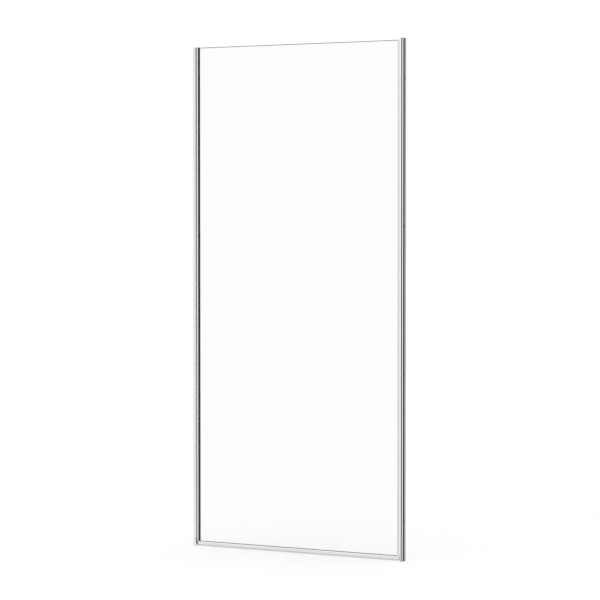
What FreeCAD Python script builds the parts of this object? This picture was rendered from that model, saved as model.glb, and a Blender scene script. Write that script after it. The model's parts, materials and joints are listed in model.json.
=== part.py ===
import FreeCAD, Part
import Sketcher
import os

# Niche shower door: a clear glass leaf on a round hinge barrel, closing on a magnetic strike profile.
# X runs across the niche from the hinge wall to the strike wall, Y from the room into the shower,
# Z up. The origin is on the floor, in the middle of the niche, on the middle plane of the glass.

SIZES = {
    # Overall
    "niche_width": 900.0,
    "frame_height": 1950.0,
    "leaf_top_drop": 5.0,
    # Glass
    "glass_thick": 6.0,
    "glass_arris": 1.5,
    "glass_top_drop": 1.5,
    "glass_edge_gap": 1.0,
    # Hinge barrel and the glazing channel beside it, one extrusion
    "wall_gap": 0.4,
    "barrel_dia": 16.0,
    "barrel_wall": 1.8,
    "neck_length": 4.3,
    "neck_depth": 8.0,
    "neck_wall": 1.6,
    "channel_depth": 16.0,
    "channel_land": 5.3,
    "channel_web": 1.6,
    "nose_length": 2.8,
    "nose_wall": 1.4,
    "profile_round": 0.8,
    "notch_gap": 0.6,
    # Glazing gaskets, which clip over the channel's noses
    "gasket_thick": 1.8,
    "gasket_skin": 1.0,
    "gasket_end": 0.5,
    "gasket_round": 0.9,
    # Packers between the glass edge and the channel
    "packer_length": 80.0,
    "packer_inset": 180.0,
    # Hinge-side wall profile
    "wall_leg_gap": 2.6,
    "wall_leg_thick": 1.8,
    "wall_leg_short": 1.0,
    "wall_flange_thick": 1.8,
    "wall_flange_depth": 24.0,
    "port_dia": 6.4,
    "port_bore_dia": 3.4,
    "port_bite": 0.3,
    # Rebate seal on the wall profile
    "rebate_seal_width": 4.0,
    "rebate_stem_width": 1.2,
    "rebate_stem_depth": 1.0,
    "rebate_seal_inset": 3.2,
    "rebate_seal_round": 0.9,
    "rebate_clear": 0.3,
    # Pivots
    "foot_cap_height": 15.0,
    "foot_cap_round": 3.9,
    "spigot_dia": 10.0,
    "spigot_length": 6.0,
    "spigot_clear": 0.05,
    "knuckle_height": 12.0,
    "knuckle_arm": 12.0,
    "pivot_plate_thick": 3.0,
    "pivot_plate_back": 8.6,
    "pivot_corner": 2.0,
    "thrust_gap": 0.3,
    "pin_dia": 6.0,
    "pin_reach": 14.0,
    "pin_seat": 15.0,
    "pin_clear": 0.05,
    "bush_length": 15.0,
    "bush_flange": 1.0,
    "bush_flange_inset": 0.3,
    # Screws in the wall profile's port
    "port_screw_head_dia": 7.0,
    "port_screw_head": 1.7,
    "port_screw_bite": 18.0,
    "foot_screw_recess": 12.0,
    "screw_clear": 0.1,
    "press_clear": 0.02,
    # Wall fixing holes in both wall profiles
    "wall_hole_dia": 5.2,
    "wall_hole_end": 150.0,
    "wall_hole_pair": 550.0,
    # Strike-side wall profile
    "strike_depth": 24.0,
    "strike_web": 2.0,
    "strike_flange": 6.0,
    "strike_wall": 1.6,
    "strike_round": 1.0,
    "sealant_rebate": 1.0,
    "sealant_width": 7.6,
    # Strike profile, which telescopes into its wall profile
    "strike_reveal": 3.2,
    "strike_head": 5.5,
    "strike_slide_clear": 0.3,
    "strike_end_clear": 0.6,
    "strike_leg": 1.6,
    "magnet_mouth": 6.8,
    "magnet_slot": 10.4,
    "magnet_lip": 1.4,
    "magnet_slot_depth": 2.6,
    "chamber_inner": 6.8,
    "chamber_wall": 1.6,
    # Magnet strips
    "strip_clear": 0.2,
    "strip_face": 0.5,
    "strike_core_width": 4.8,
    "strike_core_thick": 1.6,
    "closing_gap": 0.4,
    # Strike end caps
    "end_cap_thick": 2.0,
    "end_cap_spigot": 6.0,
    # Screws that lock the strike profile in its wall profile
    "lock_screw_dia": 2.6,
    "lock_screw_head_dia": 3.8,
    "lock_screw_head": 1.6,
    "lock_screw_slope": 0.8,
    "lock_screw_inset": 4.0,
    "lock_screw_end": 200.0,
    # Closing-edge seal on the glass
    "seal_grip": 3.8,
    "seal_wall": 1.2,
    "seal_tube": 8.4,
    "seal_tube_wall": 1.0,
    "edge_core_clear": 0.1,
    # Bottom rail
    "rail_top": 18.0,
    "rail_step": 14.0,
    "rail_bottom": 6.5,
    "rail_depth": 12.4,
    "rail_foot_depth": 14.4,
    "rail_floor": 1.6,
    "rail_strip_thick": 1.9,
    "rail_strip_floor": 1.0,
    "rail_strip_lip": 1.2,
    "rail_strip_cover": 0.7,
    "rail_slot_depth": 10.8,
    "rail_hook_mouth": 6.8,
    "rail_hook": 1.5,
    "rail_slot_height": 2.4,
    "rail_hinge_inset": 3.7,
    "rail_end_sleeve": 2.0,
    "rail_strike_gap": 4.3,
    "rail_cap_thick": 1.5,
    # Drip seal under the rail
    "drip_clear": 0.15,
    "drip_skirt": 1.5,
    "drip_skirt_depth": 12.0,
    "drip_lip": 1.4,
    "floor_gap": 2.0,
}


class Dim:
    """A length with its value in mm and the sheet expression that gives it."""

    def __init__(self, value, text):
        self.value = value
        self.text = text

    def joined(self, sign, other, value):
        return Dim(value, f"({self.text} {sign} {other.text})")

    def __add__(self, other):
        other = dim(other)
        return self.joined("+", other, self.value + other.value)

    def __sub__(self, other):
        other = dim(other)
        return self.joined("-", other, self.value - other.value)

    def __mul__(self, other):
        other = dim(other)
        return self.joined("*", other, self.value * other.value)

    def __truediv__(self, other):
        other = dim(other)
        return self.joined("/", other, self.value / other.value)

    def __neg__(self):
        return Dim(-self.value, f"(0 - {self.text})")


def dim(value):
    """Any number as a Dim."""
    if isinstance(value, Dim):
        return value
    return Dim(float(value), str(float(value)))


ZERO = dim(0)

doc = FreeCAD.newDocument("NicheShowerDoor")
sheet = doc.addObject("Spreadsheet::Sheet", "Sizes")
for row, (alias, number) in enumerate(SIZES.items(), start=1):
    sheet.set(f"A{row}", alias)
    sheet.set(f"B{row}", str(number))
    sheet.setAlias(f"B{row}", alias)
doc.recompute()

size = {alias: Dim(number, f"Sizes.{alias}") for alias, number in SIZES.items()}


def place_point(sketch, element, end, x, y):
    """Dimension one end of a sketch element from the sketch's origin."""
    for kind, axis, length in (("DistanceX", -2, x), ("DistanceY", -1, y)):
        if length is ZERO:
            sketch.addConstraint(Sketcher.Constraint("PointOnObject", element, end, axis))
        elif length.value < 0:
            index = sketch.addConstraint(Sketcher.Constraint(kind, element, end, -1, 1, -length.value))
            sketch.setExpression(f"Constraints[{index}]", (-length).text)
        else:
            index = sketch.addConstraint(Sketcher.Constraint(kind, -1, 1, element, end, length.value))
            sketch.setExpression(f"Constraints[{index}]", length.text)


def vector(x, y):
    return FreeCAD.Vector(x.value, y.value, 0)


class Ring:
    """A circle of a sketch."""

    def __init__(self, x, y, radius):
        self.x, self.y, self.radius = dim(x), dim(y), radius

    def draw(self, sketch):
        circle = Part.Circle(vector(self.x, self.y), FreeCAD.Vector(0, 0, 1), self.radius.value)
        element = sketch.addGeometry(circle, False)
        index = sketch.addConstraint(Sketcher.Constraint("Radius", element, self.radius.value))
        sketch.setExpression(f"Constraints[{index}]", self.radius.text)
        place_point(sketch, element, 3, self.x, self.y)


class Outline:
    """A closed outline of straight edges. A corner is x, y and, where it is square and rounded, a radius."""

    def __init__(self, *corners):
        self.corners = [(x, y, *rest) for x, y, *rest in corners]

    def edge_sign(self, start, end):
        """Which way a square edge runs, as its X and Y signs."""
        dx = self.corners[end][0].value - self.corners[start][0].value
        dy = self.corners[end][1].value - self.corners[start][1].value
        return (0, 1 if dy > 0 else -1) if abs(dy) > abs(dx) else (1 if dx > 0 else -1, 0)

    def stops(self):
        """The points along the outline, each with the radius of the arc that starts there, if one does."""
        count = len(self.corners)
        points = []
        for number, (x, y, *rest) in enumerate(self.corners):
            if not rest:
                points.append((x, y, None, None))
                continue
            radius = rest[0]
            into = self.edge_sign(number - 1, number)
            out = self.edge_sign(number, (number + 1) % count)
            start = shifted(x, radius, -into[0]), shifted(y, radius, -into[1])
            end = shifted(x, radius, out[0]), shifted(y, radius, out[1])
            center = shifted(start[0], radius, out[0]), shifted(start[1], radius, out[1])
            points.append((*start, radius, center))
            points.append((*end, None, None))
        return points

    def draw(self, sketch):
        points = self.stops()
        elements = []
        for number, (x, y, radius, center) in enumerate(points):
            next_x, next_y = points[(number + 1) % len(points)][:2]
            start, end = vector(x, y), vector(next_x, next_y)
            if radius is None:
                edge = Part.LineSegment(start, end)
            else:
                middle = vector(*center)
                bulge = (start + end) / 2 - middle
                edge = Part.Arc(start, middle + bulge.normalize() * radius.value, end)
            elements.append(sketch.addGeometry(edge, False))
        ends = [nearest_ends(sketch, element, points[number]) for number, element in enumerate(elements)]
        for number, element in enumerate(elements):
            following = (number + 1) % len(elements)
            meeting = element, ends[number][1], elements[following], ends[following][0]
            sketch.addConstraint(Sketcher.Constraint("Coincident", *meeting))
        for number, (x, y, radius, center) in enumerate(points):
            place_point(sketch, elements[number], ends[number][0], x, y)
            if radius is not None:
                index = sketch.addConstraint(Sketcher.Constraint("Radius", elements[number], radius.value))
                sketch.setExpression(f"Constraints[{index}]", radius.text)


def shifted(length, radius, sign):
    """A length moved by a radius along a sign, or as it is where the sign is 0."""
    if sign == 0:
        return length
    return length + radius if sign > 0 else length - radius


def nearest_ends(sketch, element, point):
    """The end numbers of a sketch element, the one at the given point first."""
    start = sketch.getPoint(element, 1)
    other = sketch.getPoint(element, 2)
    here = vector(point[0], point[1])
    return (1, 2) if (start - here).Length <= (other - here).Length else (2, 1)


def box(x0, x1, y0, y1, *rounding):
    """A rectangle, with all corners rounded where a radius is given."""
    return Outline((x0, y0, *rounding), (x1, y0, *rounding), (x1, y1, *rounding), (x0, y1, *rounding))


pieces = []


class Piece:
    """One physical piece: a body whose features are drawn on its own origin planes."""

    def __init__(self, name):
        self.name = name
        self.body = doc.addObject("PartDesign::Body", name)
        self.body.Label = name
        self.body.AllowCompound = True
        pieces.append(self)

    def sketch(self, outlines, plane, offset, shift=None):
        drawn = self.body.newObject("Sketcher::SketchObject", f"{self.name}_sketch")
        origin_plane = next(f for f in self.body.Origin.OriginFeatures if f.Role == plane)
        drawn.AttachmentSupport = (origin_plane, [""])
        drawn.MapMode = "FlatFace"
        drawn.setExpression("AttachmentOffset.Base.z", offset.text)
        if shift is not None:
            drawn.setExpression("AttachmentOffset.Base.x", shift.text)
        for outline in outlines:
            outline.draw(drawn)
        return drawn

    def extruded(self, kind, drawn, length):
        feature = self.body.newObject(kind, f"{self.name}_{kind.split('::')[1].lower()}")
        feature.Profile = drawn
        feature.setExpression("Length", length.text)
        self.body.Tip = feature
        return feature

    def pad(self, outlines, low, high, plane="XY_Plane"):
        """Extrude outlines between two heights along the plane's axis."""
        offset = -high if plane == "XZ_Plane" else low
        return self.extruded("PartDesign::Pad", self.sketch(outlines, plane, offset), high - low)

    def cut(self, outlines, low, high, plane="XY_Plane"):
        """Cut outlines away between two heights along the plane's axis."""
        offset = -low if plane == "XZ_Plane" else high
        return self.extruded("PartDesign::Pocket", self.sketch(outlines, plane, offset), high - low)

    def turn(self, outline, axis_x, plane="XZ_Plane", offset=ZERO):
        """Turn an outline, given as radius and height, about an upright axis of the plane."""
        drawn = self.sketch([outline], plane, offset, axis_x)
        feature = self.body.newObject("PartDesign::Revolution", f"{self.name}_turned")
        feature.Profile = drawn
        feature.ReferenceAxis = (drawn, ["V_Axis"])
        feature.Angle = 360.0
        self.body.Tip = feature
        return feature


# Places that several pieces share

strike_wall_x = size["niche_width"] / 2
hinge_wall_x = -strike_wall_x
frame_top = size["frame_height"]
frame_middle = frame_top / 2
leaf_top = frame_top - size["leaf_top_drop"]
rail_top = size["rail_top"]
glass_y = size["glass_thick"] / 2

barrel_r = size["barrel_dia"] / 2
bore_r = barrel_r - size["barrel_wall"]
axis_x = hinge_wall_x + size["wall_gap"] + barrel_r
channel_x = axis_x + barrel_r + size["neck_length"]
pocket_x = channel_x + size["channel_web"]
glass_x0 = pocket_x + size["glass_edge_gap"]
land_x = channel_x + size["channel_land"]
nose_x = land_x + size["nose_length"]
channel_y = size["channel_depth"] / 2
pocket_y = glass_y + size["gasket_thick"]
nose_y = pocket_y + size["nose_wall"]
gasket_y = nose_y + size["gasket_skin"]

flange_x = strike_wall_x - size["strike_flange"]
shoulder_x = flange_x - size["strike_reveal"]
strike_face_x = shoulder_x - size["strike_head"]
magnet_face_x = strike_face_x - size["strip_face"]
seal_x1 = magnet_face_x - size["closing_gap"]
glass_x1 = seal_x1 - size["seal_tube"]
seal_x0 = glass_x1 - size["seal_grip"]

rail_step = size["rail_step"]
rail_bottom = size["rail_bottom"]
hook_z = rail_bottom + size["rail_hook"]
slot_z = hook_z + size["rail_slot_height"]
rail_floor_z = slot_z + size["rail_floor"]
glass_z0 = rail_floor_z + size["rail_strip_floor"]

knuckle_z0 = size["foot_cap_height"]
knuckle_z1 = knuckle_z0 + size["knuckle_height"]
plate_z0 = leaf_top - size["pivot_plate_thick"]
barrel_z0 = knuckle_z1 + size["thrust_gap"] + size["bush_flange"]
barrel_z1 = plate_z0 - size["thrust_gap"] - size["bush_flange"]
pin_r = size["pin_dia"] / 2
pin_hole_r = pin_r + size["press_clear"]

leg_y0 = channel_y + size["wall_leg_gap"]
leg_y1 = leg_y0 + size["wall_leg_thick"]
leg_x1 = land_x - size["wall_leg_short"]
wall_flange_x = hinge_wall_x + size["wall_flange_thick"]
wall_flange_y = leg_y0 + size["wall_flange_depth"]
port_r = size["port_dia"] / 2
port_x = wall_flange_x + port_r - size["port_bite"]
port_y = leg_y1 + port_r - size["port_bite"]
port_bore_r = size["port_bore_dia"] / 2
plate_y1 = leg_y1 + size["pivot_plate_back"]

wall_hole_r = size["wall_hole_dia"] / 2
wall_hole_heights = [
    size["wall_hole_end"],
    frame_middle - size["wall_hole_pair"] / 2,
    frame_middle + size["wall_hole_pair"] / 2,
    frame_top - size["wall_hole_end"],
]


def mirrored(half):
    """An upright profile's outline from its half on the side of positive Y."""
    other = [(x, -y, *rest) for x, y, *rest in reversed(half)]
    return Outline(*half, *other)


def mirrored_rail(half):
    """A level profile's outline, in Y and Z, from its half on the side of positive Y."""
    other = [(-y, z) for y, z in reversed(half)]
    return Outline(*half, *other)


# Hinge side, fixed to the wall

seal_stem_x0 = land_x - size["rebate_seal_inset"]
seal_stem_x1 = seal_stem_x0 + size["rebate_stem_width"]
seal_stem_y1 = leg_y0 + size["rebate_stem_depth"]


def bracket(y0):
    """A pivot bracket's outline, as wide as the barrel, from one Y to its rounded back."""
    left, right, rounding = axis_x - barrel_r, axis_x + barrel_r, size["pivot_corner"]
    return Outline((left, y0), (right, y0), (right, plate_y1, rounding), (left, plate_y1, rounding))


def make_hinge_wall_profile():
    """An angle behind the barrel: a flange on the wall, a rebate leg behind the leaf and a screw port."""
    piece = Piece("hinge_wall_profile")
    angle = Outline(
        (hinge_wall_x, leg_y0), (leg_x1, leg_y0), (leg_x1, leg_y1),
        (wall_flange_x, leg_y1), (wall_flange_x, wall_flange_y), (hinge_wall_x, wall_flange_y),
    )
    piece.pad([angle], knuckle_z1, plate_z0)
    piece.pad([Ring(port_x, port_y, port_r)], knuckle_z1, plate_z0)
    piece.cut([Ring(port_x, port_y, port_bore_r)], knuckle_z1, plate_z0)
    piece.cut([box(seal_stem_x0, seal_stem_x1, leg_y0, seal_stem_y1)], knuckle_z1, plate_z0)
    hole_y = (port_y + port_r + wall_flange_y) / 2
    holes = [Ring(hole_y, z, wall_hole_r) for z in wall_hole_heights]
    piece.cut(holes, hinge_wall_x, wall_flange_x, "YZ_Plane")


def make_rebate_seal():
    """A soft bead on the rebate leg, which closes the gap behind the channel."""
    middle = (seal_stem_x0 + seal_stem_x1) / 2
    half_width = size["rebate_seal_width"] / 2
    rounding = size["rebate_seal_round"]
    bead_y = channel_y + size["rebate_clear"]
    bead = Outline(
        (middle - half_width, bead_y, rounding), (middle + half_width, bead_y, rounding),
        (middle + half_width, leg_y0), (seal_stem_x1, leg_y0),
        (seal_stem_x1, seal_stem_y1), (seal_stem_x0, seal_stem_y1),
        (seal_stem_x0, leg_y0), (middle - half_width, leg_y0),
    )
    Piece("rebate_seal").pad([bead], knuckle_z1, plate_z0)


def make_top_pivot_plate():
    """A flat plate over the barrel and the wall profile's end, which holds the top pin."""
    piece = Piece("top_pivot_plate")
    piece.pad([Ring(axis_x, ZERO, barrel_r)], plate_z0, leaf_top)
    piece.pad([bracket(ZERO)], plate_z0, leaf_top)
    piece.cut([Ring(axis_x, ZERO, pin_hole_r)], plate_z0, leaf_top)
    piece.cut([Ring(port_x, port_y, port_bore_r + size["screw_clear"])], plate_z0, leaf_top)
    head_r = size["port_screw_head_dia"] / 2 + size["screw_clear"]
    piece.cut([Ring(port_x, port_y, head_r)], leaf_top - size["port_screw_head"], leaf_top)


def make_pivot_foot():
    """The bottom bracket: a knuckle under the barrel, an arm and a block under the wall profile."""
    piece = Piece("pivot_foot")
    piece.pad([Ring(axis_x, ZERO, barrel_r)], knuckle_z0, knuckle_z1)
    arm = size["knuckle_arm"] / 2
    piece.pad([box(axis_x - arm, axis_x + arm, ZERO, leg_y0)], knuckle_z0, knuckle_z1)
    piece.pad([bracket(leg_y0)], ZERO, knuckle_z1)
    piece.pad([Ring(axis_x, ZERO, size["spigot_dia"] / 2)], knuckle_z0 - size["spigot_length"], knuckle_z0)
    piece.cut([Ring(axis_x, ZERO, pin_hole_r)], knuckle_z1 - size["pin_seat"], knuckle_z1)
    piece.cut([Ring(port_x, port_y, port_bore_r + size["screw_clear"])], ZERO, knuckle_z1)
    head_r = size["port_screw_head_dia"] / 2 + size["screw_clear"]
    piece.cut([Ring(port_x, port_y, head_r)], ZERO, size["foot_screw_recess"])


def make_foot_cap():
    """The rounded cap under the knuckle."""
    piece = Piece("foot_cap")
    bore = size["spigot_dia"] / 2 + size["spigot_clear"]
    bore_z = knuckle_z0 - size["spigot_length"] - size["spigot_clear"]
    section = Outline(
        (ZERO, ZERO), (barrel_r, ZERO, size["foot_cap_round"]), (barrel_r, knuckle_z0),
        (bore, knuckle_z0), (bore, bore_z), (ZERO, bore_z),
    )
    piece.turn(section, axis_x)


def make_pivot_pins():
    """Steel pins: one stands up out of the foot, one hangs from the top plate."""
    for name, low, high in (
        ("bottom_pivot_pin", knuckle_z1 - size["pin_seat"], knuckle_z1 + size["pin_reach"]),
        ("top_pivot_pin", plate_z0 - size["pin_reach"], leaf_top),
    ):
        Piece(name).pad([Ring(axis_x, ZERO, pin_r)], low, high)


def make_port_screws():
    """Screws through the top plate and the foot into the wall profile's port."""
    piece = Piece("port_screws")
    shank = [Ring(port_x, port_y, port_bore_r - size["press_clear"])]
    head = [Ring(port_x, port_y, size["port_screw_head_dia"] / 2)]
    head_z = leaf_top - size["port_screw_head"]
    piece.pad(head, head_z, leaf_top)
    piece.pad(shank, plate_z0 - size["port_screw_bite"], head_z)
    recess = size["foot_screw_recess"]
    piece.pad(head, recess - size["port_screw_head"], recess)
    piece.pad(shank, recess, knuckle_z1 + size["port_screw_bite"])


# The leaf, which swings about the barrel's axis


def make_leaf_stile():
    """One extrusion: the round barrel, a short neck and the channel that grips the glass."""
    piece = Piece("leaf_stile")
    rounding = size["profile_round"]
    neck_y = size["neck_depth"] / 2
    channel = mirrored([
        (pocket_x, pocket_y), (nose_x, pocket_y), (nose_x, nose_y), (land_x, nose_y),
        (land_x, channel_y, rounding), (channel_x, channel_y, rounding),
    ])
    piece.pad([Ring(axis_x, ZERO, barrel_r)], rail_top, leaf_top)
    piece.pad([box(axis_x, channel_x, -neck_y, neck_y)], rail_top, leaf_top)
    piece.pad([channel], rail_top, leaf_top)
    piece.cut([Ring(axis_x, ZERO, bore_r)], rail_top, leaf_top)
    hollow_y = neck_y - size["neck_wall"]
    piece.cut([box(axis_x + barrel_r, channel_x, -hollow_y, hollow_y)], rail_top, leaf_top)
    notch = barrel_r + size["notch_gap"]
    around_barrel = [box(axis_x - notch, axis_x + notch, -notch, notch)]
    piece.cut(around_barrel, rail_top, barrel_z0)
    piece.cut(around_barrel, barrel_z1, leaf_top)


def make_pivot_bushes():
    """Flanged plastic bushes in the barrel's two ends."""
    body_r = bore_r - size["press_clear"]
    flange_r = barrel_r - size["bush_flange_inset"]
    hole = Ring(axis_x, ZERO, pin_r + size["pin_clear"])
    bottom = Piece("bottom_pivot_bush")
    bottom.pad([Ring(axis_x, ZERO, flange_r), hole], barrel_z0 - size["bush_flange"], barrel_z0)
    bottom.pad([Ring(axis_x, ZERO, body_r), hole], barrel_z0, barrel_z0 + size["bush_length"])
    top = Piece("top_pivot_bush")
    top.pad([Ring(axis_x, ZERO, flange_r), hole], barrel_z1, barrel_z1 + size["bush_flange"])
    top.pad([Ring(axis_x, ZERO, body_r), hole], barrel_z1 - size["bush_length"], barrel_z1)


def make_stile_gasket(name, side):
    """A gasket clipped over one nose of the channel, with a leg against the glass."""
    end_x = nose_x + size["gasket_end"]
    rounding = size["gasket_round"]
    clip = Outline(
        (glass_x0, glass_y * side), (end_x, glass_y * side), (end_x, gasket_y * side, rounding),
        (land_x, gasket_y * side), (land_x, nose_y * side), (nose_x, nose_y * side),
        (nose_x, pocket_y * side), (glass_x0, pocket_y * side),
    )
    Piece(name).pad([clip], rail_top, leaf_top)


def make_glass_edge_packers():
    """Plastic packers that keep the glass edge off the channel."""
    piece = Piece("glass_edge_packers")
    half_length = size["packer_length"] / 2
    low, high = rail_top + size["packer_inset"], leaf_top - size["packer_inset"]
    for middle in (low, (low + high) / 2, high):
        block = [box(pocket_x, glass_x0, -glass_y, glass_y)]
        piece.pad(block, middle - half_length, middle + half_length)


def make_glass_panel():
    """The tempered pane, with a ground arris along its edges."""
    piece = Piece("glass_panel")
    glass_top = leaf_top - size["glass_top_drop"]
    pane = piece.pad([box(glass_x0, glass_x1, -glass_y, glass_y)], glass_z0, glass_top)
    doc.recompute()
    thickness = size["glass_thick"].value
    long_edges = [f"Edge{n}" for n, edge in enumerate(pane.Shape.Edges, 1) if edge.Length > 2 * thickness]
    arris = piece.body.newObject("PartDesign::Chamfer", "glass_panel_arris")
    arris.Base = (pane, long_edges)
    arris.setExpression("Size", size["glass_arris"].text)
    piece.body.Tip = arris


rail_end_x = land_x - size["rail_hinge_inset"]
rail_x0 = rail_end_x + size["rail_end_sleeve"]
rail_x1 = magnet_face_x - size["rail_strike_gap"]
rail_y = size["rail_depth"] / 2
rail_foot_y = size["rail_foot_depth"] / 2
rail_pocket_y = glass_y + size["rail_strip_thick"]
rail_slot_y = size["rail_slot_depth"] / 2
rail_mouth_y = size["rail_hook_mouth"] / 2


def rail_section():
    """The rail's section: a pocket above for the pane, a hooked slot below for the drip seal."""
    return mirrored_rail([
        (rail_pocket_y, rail_floor_z), (rail_pocket_y, rail_top), (rail_y, rail_top), (rail_y, rail_step),
        (rail_foot_y, rail_step), (rail_foot_y, rail_bottom), (rail_mouth_y, rail_bottom),
        (rail_mouth_y, hook_z), (rail_slot_y, hook_z), (rail_slot_y, slot_z),
    ])


def make_bottom_rail():
    """A rail under the glass."""
    Piece("bottom_rail").pad([rail_section()], rail_x0, rail_x1, "YZ_Plane")


def make_rail_glazing_strip():
    """A dark U-shaped strip round the pane's bottom edge, with lips over the rail's edges."""
    lip_z = rail_top + size["rail_strip_lip"]
    lip_y = rail_pocket_y + size["rail_strip_cover"]
    section = mirrored_rail([
        (glass_y, glass_z0), (glass_y, lip_z), (lip_y, lip_z), (lip_y, rail_top),
        (rail_pocket_y, rail_top), (rail_pocket_y, rail_floor_z),
    ])
    Piece("rail_glazing_strip").pad([section], nose_x + size["gasket_end"], seal_x0, "YZ_Plane")


def make_drip_seal():
    """A soft seal hooked into the rail, with two lips towards the floor."""
    clear = size["drip_clear"]
    lip_z = size["floor_gap"]
    skirt_z = rail_bottom - size["drip_skirt"]
    skirt_y = size["drip_skirt_depth"] / 2
    lip_y = skirt_y - size["drip_lip"]
    section = mirrored_rail([
        (rail_slot_y - clear, slot_z - clear), (rail_slot_y - clear, hook_z + clear),
        (rail_mouth_y - clear, hook_z + clear), (rail_mouth_y - clear, rail_bottom),
        (skirt_y, rail_bottom), (skirt_y, lip_z), (lip_y, lip_z), (lip_y, skirt_z),
    ])
    Piece("drip_seal").pad([section], rail_x0, rail_x1, "YZ_Plane")


def make_rail_caps():
    """The rail's ends: a flat cap at the strike, and at the hinge a soft end that runs round the pane."""
    thick = size["rail_cap_thick"]
    plate = [mirrored_rail([
        (rail_y, rail_top), (rail_y, rail_step), (rail_foot_y, rail_step), (rail_foot_y, rail_bottom),
    ])]
    hinge_side = Piece("rail_cap_hinge_side")
    hinge_side.pad(plate, rail_end_x - thick, rail_end_x, "YZ_Plane")
    hinge_side.pad([rail_section()], rail_end_x, rail_x0, "YZ_Plane")
    Piece("rail_cap_strike_side").pad(plate, rail_x1, rail_x1 + thick, "YZ_Plane")


def make_edge_magnet_seal():
    """A push-on seal along the closing edge: two legs on the glass and a tube for the magnet."""
    piece = Piece("edge_magnet_seal")
    seal_y = glass_y + size["seal_wall"]
    section = mirrored([
        (glass_x1, glass_y), (seal_x0, glass_y), (seal_x0, seal_y), (seal_x1, seal_y, size["profile_round"]),
    ])
    wall = size["seal_tube_wall"]
    tube = box(glass_x1 + size["seal_wall"], seal_x1 - wall, wall - seal_y, seal_y - wall)
    piece.pad([section, tube], rail_top, leaf_top)
    clear = size["edge_core_clear"]
    core = box(
        glass_x1 + size["seal_wall"] + clear, seal_x1 - wall - clear,
        wall - seal_y + clear, seal_y - wall - clear,
    )
    Piece("edge_magnet").pad([core], rail_top, leaf_top)


# Strike side, fixed to the other wall

strike_y = size["strike_depth"] / 2
strike_inner_y = strike_y - size["strike_wall"]
strike_leg_y1 = strike_inner_y - size["strike_slide_clear"]
strike_leg_y0 = strike_leg_y1 - size["strike_leg"]
strike_web_x = strike_wall_x - size["strike_web"]
strike_z0 = size["end_cap_thick"]
strike_z1 = frame_top - size["end_cap_thick"]
slot_front_x = strike_face_x + size["magnet_lip"]
slot_back_x = slot_front_x + size["magnet_slot_depth"]
mouth_y = size["magnet_mouth"] / 2
slot_y = size["magnet_slot"] / 2
chamber_y0 = size["chamber_inner"]
chamber_y1 = strike_y - size["chamber_wall"]
chamber_x0 = strike_face_x + size["chamber_wall"]
chamber_x1 = shoulder_x - size["chamber_wall"]
lock_screw_x = strike_wall_x - size["lock_screw_inset"]
lock_screw_r = size["lock_screw_dia"] / 2
lock_screw_heights = [size["lock_screw_end"], frame_middle, frame_top - size["lock_screw_end"]]


def lock_screw_holes():
    return [Ring(lock_screw_x, z, lock_screw_r + size["press_clear"]) for z in lock_screw_heights]


def make_strike_wall_profile():
    """A channel screwed to the wall, open towards the leaf, with a sealant rebate at its room-side corner."""
    piece = Piece("strike_wall_profile")
    rebate_x = strike_wall_x - size["sealant_rebate"]
    rebate_y = size["sealant_width"] - strike_y
    section = Outline(
        (strike_wall_x, strike_y, size["strike_round"]), (flange_x, strike_y), (flange_x, strike_inner_y),
        (strike_web_x, strike_inner_y), (strike_web_x, -strike_inner_y), (flange_x, -strike_inner_y),
        (flange_x, -strike_y), (rebate_x, -strike_y), (rebate_x, rebate_y), (strike_wall_x, rebate_y),
    )
    piece.pad([section], strike_z0, strike_z1)
    holes = [Ring(ZERO, z, wall_hole_r) for z in wall_hole_heights]
    piece.cut(holes, strike_web_x, strike_wall_x, "YZ_Plane")
    piece.cut(lock_screw_holes(), strike_inner_y, strike_y, "XZ_Plane")


def make_strike_profile():
    """The visible strike: a head with a magnet slot, and two legs that slide in the wall profile."""
    piece = Piece("strike_profile")
    rounding = size["profile_round"]
    leg_end_x = strike_web_x - size["strike_end_clear"]
    section = mirrored([
        (shoulder_x, strike_leg_y0), (leg_end_x, strike_leg_y0), (leg_end_x, strike_leg_y1),
        (shoulder_x, strike_leg_y1), (shoulder_x, strike_y, rounding), (strike_face_x, strike_y, rounding),
        (strike_face_x, mouth_y), (slot_front_x, mouth_y), (slot_front_x, slot_y), (slot_back_x, slot_y),
    ])
    chambers = [
        box(chamber_x0, chamber_x1, chamber_y0, chamber_y1),
        box(chamber_x0, chamber_x1, -chamber_y1, -chamber_y0),
    ]
    piece.pad([section, *chambers], strike_z0, strike_z1)
    piece.cut(lock_screw_holes(), strike_leg_y0, strike_leg_y1, "XZ_Plane")


def make_strike_magnet():
    """A plastic strip clipped in the strike's slot, with the magnet sealed inside it."""
    piece = Piece("strike_magnet_strip")
    clear = size["strip_clear"]
    section = mirrored([
        (slot_back_x - clear, slot_y - clear), (slot_front_x + clear, slot_y - clear),
        (slot_front_x + clear, mouth_y - clear), (strike_face_x, mouth_y - clear),
        (strike_face_x, slot_y), (magnet_face_x, slot_y),
    ])
    core_middle = (slot_front_x + slot_back_x) / 2
    core_x = size["strike_core_thick"] / 2
    core_y = size["strike_core_width"] / 2
    core = box(core_middle - core_x, core_middle + core_x, -core_y, core_y)
    piece.pad([section, core], strike_z0, strike_z1)
    Piece("strike_magnet").pad([core], strike_z0, strike_z1)


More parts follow.
